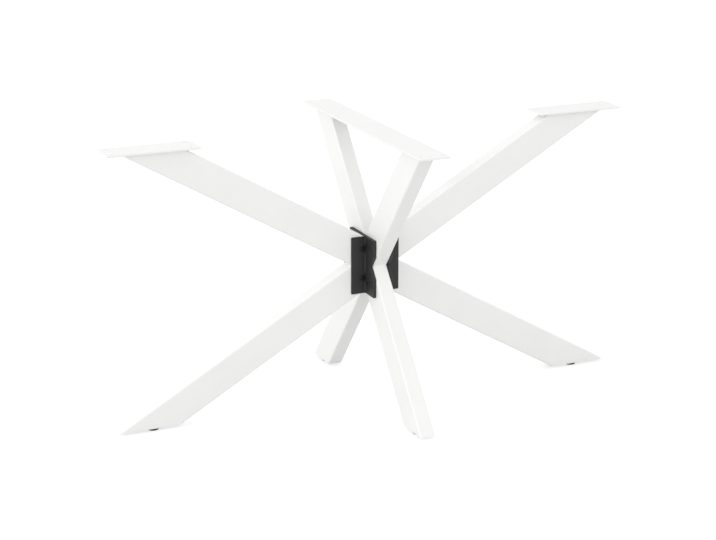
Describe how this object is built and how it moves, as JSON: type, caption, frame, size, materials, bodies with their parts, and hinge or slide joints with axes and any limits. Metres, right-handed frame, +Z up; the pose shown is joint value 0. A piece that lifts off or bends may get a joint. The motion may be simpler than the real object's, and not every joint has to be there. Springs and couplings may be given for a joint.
{
  "type": "spider table base",
  "caption": "Steel table base of V-shaped rectangular tube arms bolted round a hub, with top plates for a table top and levelling feet.",
  "frame": {"origin": "on the floor, below the centre of the hub and of the whole base, with the feet screwed home", "axes": "+Z up; X runs along the two long arms, +X to the right arm; +Y to the rear arm"},
  "size_m": [1.406, 0.734, 0.72],
  "materials": {
    "white_powder_coat": "satin powder coat",
    "charcoal_powder_coat": "fine textured powder coat",
    "black_steel": "black oxide",
    "zinc_plated_steel": "bright zinc",
    "black_plastic": "moulded matt"
  },
  "bodies": {
    "frame": {"left_upper_tube": "white_powder_coat", "left_lower_tube": "white_powder_coat", "left_end_cap": "white_powder_coat", "left_rivet_nuts": "zinc_plated_steel", "left_foot_nut": "zinc_plated_steel", "right_upper_tube": "white_powder_coat", "right_lower_tube": "white_powder_coat", "right_end_cap": "white_powder_coat", "right_rivet_nuts": "zinc_plated_steel", "right_foot_nut": "zinc_plated_steel", "front_upper_tube": "white_powder_coat", "front_lower_tube": "white_powder_coat", "front_end_cap": "white_powder_coat", "front_rivet_nuts": "zinc_plated_steel", "front_foot_nut": "zinc_plated_steel", "rear_upper_tube": "white_powder_coat", "rear_lower_tube": "white_powder_coat", "rear_end_cap": "white_powder_coat", "rear_rivet_nuts": "zinc_plated_steel", "rear_foot_nut": "zinc_plated_steel", "left_top_plate": "white_powder_coat", "right_top_plate": "white_powder_coat", "centre_top_plate": "white_powder_coat", "left_hub_plate": "charcoal_powder_coat", "right_hub_plate": "charcoal_powder_coat", "front_left_cheek": "charcoal_powder_coat", "front_left_bolts": "black_steel", "front_right_cheek": "charcoal_powder_coat", "front_right_bolts": "black_steel", "rear_left_cheek": "charcoal_powder_coat", "rear_left_bolts": "black_steel", "rear_right_cheek": "charcoal_powder_coat", "rear_right_bolts": "black_steel"},
    "left_foot": {"left_foot_stud": "zinc_plated_steel", "left_foot_pad": "black_plastic"},
    "right_foot": {"right_foot_stud": "zinc_plated_steel", "right_foot_pad": "black_plastic"},
    "front_foot": {"front_foot_stud": "zinc_plated_steel", "front_foot_pad": "black_plastic"},
    "rear_foot": {"rear_foot_stud": "zinc_plated_steel", "rear_foot_pad": "black_plastic"}
  },
  "joints": [
    {"name": "left_foot_screw", "type": "slide", "parent": "frame", "child": "left_foot", "axis": [0, 0, -1], "range_m": [0, 0.01]},
    {"name": "right_foot_screw", "type": "slide", "parent": "frame", "child": "right_foot", "axis": [0, 0, -1], "range_m": [0, 0.01]},
    {"name": "front_foot_screw", "type": "slide", "parent": "frame", "child": "front_foot", "axis": [0, 0, -1], "range_m": [0, 0.01]},
    {"name": "rear_foot_screw", "type": "slide", "parent": "frame", "child": "rear_foot", "axis": [0, 0, -1], "range_m": [0, 0.01]}
  ]
}
